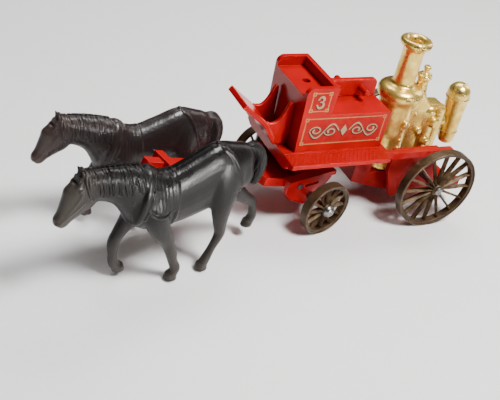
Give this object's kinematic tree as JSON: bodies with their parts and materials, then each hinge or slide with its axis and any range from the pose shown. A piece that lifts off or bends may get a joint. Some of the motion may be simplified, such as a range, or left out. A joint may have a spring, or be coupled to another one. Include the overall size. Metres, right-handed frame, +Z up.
{
  "type": "toy horse-drawn fire engine",
  "caption": "Small diecast horse-drawn steam fire engine: red body, gold boiler and pump, spoked wheels, steered fore carriage and a pole with a pair of horses.",
  "frame": {"origin": "on the ground below the middle of the whole toy", "axes": "+X towards the engine's rear, -X the way the horses face, +Z up; the picture shows the -Y side"},
  "size_m": [0.1242, 0.049, 0.049],
  "materials": {
    "red_enamel": "gloss",
    "underframe_red": "gloss",
    "gold_plate": "bright plating with worn spots",
    "bronze_plastic": "satin",
    "bright_steel": "bright",
    "black_plastic": "satin"
  },
  "bodies": {
    "engine": {"body_casting": "red_enamel", "locker_back_rest": "red_enamel", "footboard": "red_enamel", "base_casting": "underframe_red", "base_rivet": "bright_steel", "boiler": "gold_plate", "safety_valve": "gold_plate", "pump": "gold_plate", "air_vessel": "gold_plate", "rear_axle": "bright_steel", "kingpin": "bright_steel"},
    "fore_unit": {"fore_carriage": "red_enamel", "front_axle": "bright_steel", "pole_pin": "bright_steel"},
    "pole_unit": {"pole": "red_enamel", "horse_pin_near": "bright_steel", "horse_pin_far": "bright_steel"},
    "near_horse": {"horse_near": "black_plastic"},
    "far_horse": {"horse_far": "black_plastic"},
    "rear_wheel_near": {"rear_wheel_near": "bronze_plastic"},
    "rear_wheel_far": {"rear_wheel_far": "bronze_plastic"},
    "front_wheel_near": {"front_wheel_near": "bronze_plastic"},
    "front_wheel_far": {"front_wheel_far": "bronze_plastic"}
  },
  "joints": [
    {"name": "steer", "type": "hinge", "parent": "engine", "child": "fore_unit", "pos_m": [0.00979, 0.00568, 0], "axis": [0, 0, 1], "range_deg": [-43.7, 16.2]},
    {"name": "pole_lift", "type": "hinge", "parent": "fore_unit", "child": "pole_unit", "pos_m": [0.00561, 0.00466, 0.0112], "axis": [-0.2372, 0.9715, 0], "range_deg": [-4, 10]},
    {"name": "near_horse_rock", "type": "hinge", "parent": "pole_unit", "child": "near_horse", "pos_m": [-0.02912, -0.01577, 0.02286], "axis": [-0.2372, 0.9715, 0], "range_deg": [-8, 8]},
    {"name": "far_horse_rock", "type": "hinge", "parent": "pole_unit", "child": "far_horse", "pos_m": [-0.03401, 0.00425, 0.02286], "axis": [-0.2372, 0.9715, 0], "range_deg": [-8, 8]},
    {"name": "rear_wheel_near_spin", "type": "hinge", "parent": "engine", "child": "rear_wheel_near", "pos_m": [0.04653, -0.01112, 0.012], "axis": [0, 1, 0], "continuous": true},
    {"name": "rear_wheel_far_spin", "type": "hinge", "parent": "engine", "child": "rear_wheel_far", "pos_m": [0.04653, 0.02248, 0.012], "axis": [0, 1, 0], "continuous": true},
    {"name": "front_wheel_near_spin", "type": "hinge", "parent": "fore_unit", "child": "front_wheel_near", "pos_m": [0.01341, -0.00914, 0.00751], "axis": [-0.2372, 0.9715, 0], "continuous": true},
    {"name": "front_wheel_far_spin", "type": "hinge", "parent": "fore_unit", "child": "front_wheel_far", "pos_m": [0.00617, 0.02049, 0.00751], "axis": [-0.2372, 0.9715, 0], "continuous": true}
  ]
}
